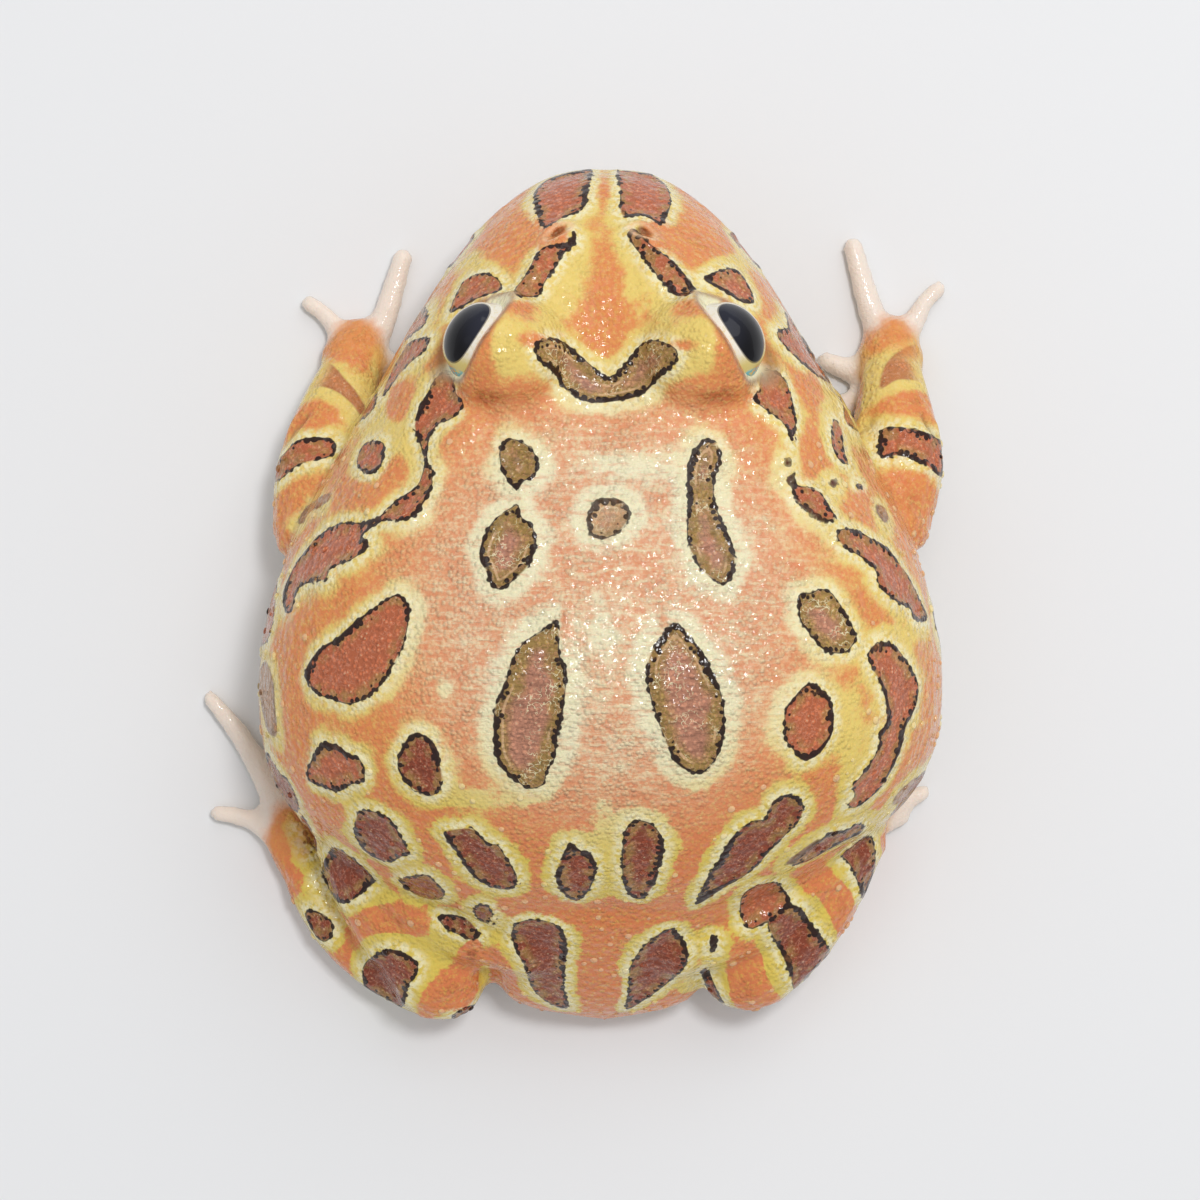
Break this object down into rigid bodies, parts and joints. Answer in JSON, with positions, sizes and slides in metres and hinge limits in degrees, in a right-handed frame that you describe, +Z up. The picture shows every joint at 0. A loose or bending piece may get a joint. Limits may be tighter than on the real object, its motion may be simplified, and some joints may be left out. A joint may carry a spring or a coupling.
{
  "type": "argentine horned frog",
  "caption": "Life-size still model of a sitting argentine horned frog with a wide mouth, fleshy points over the eyes, folded hind legs and spread fingers.",
  "frame": {"origin": "middle of the bounding box on the floor under the belly", "axes": "+Z up; the snout points to -Y, so +Y runs from the snout to the vent; +X to the frog's own left"},
  "size_m": [0.0914, 0.1028, 0.0436],
  "materials": {
    "skin_orange": "wet granular skin",
    "skin_yellow": "wet granular skin",
    "digit_skin": "smooth moist skin",
    "eye": "glossy and wet"
  },
  "bodies": {
    "root": {"head": "skin_orange", "lower_jaw": "skin_yellow", "torso": "skin_orange", "eye_left": "eye", "upper_arm_left": "skin_orange", "forearm_left": "skin_orange", "hand_left": "skin_orange", "thigh_left": "skin_orange", "shank_left": "skin_orange", "tarsus_left": "skin_orange", "foot_left": "skin_orange", "finger_1_left": "digit_skin", "finger_2_left": "digit_skin", "finger_3_left": "digit_skin", "finger_4_left": "digit_skin", "toe_1_left": "digit_skin", "toe_2_left": "digit_skin", "toe_3_left": "digit_skin", "toe_4_left": "digit_skin", "toe_5_left": "digit_skin", "eye_right": "eye", "upper_arm_right": "skin_orange", "forearm_right": "skin_orange", "hand_right": "skin_orange", "thigh_right": "skin_orange", "shank_right": "skin_orange", "tarsus_right": "skin_orange", "foot_right": "skin_orange", "finger_1_right": "digit_skin", "finger_2_right": "digit_skin", "finger_3_right": "digit_skin", "finger_4_right": "digit_skin", "toe_1_right": "digit_skin", "toe_2_right": "digit_skin", "toe_3_right": "digit_skin", "toe_4_right": "digit_skin", "toe_5_right": "digit_skin"}
  },
  "joints": []
}
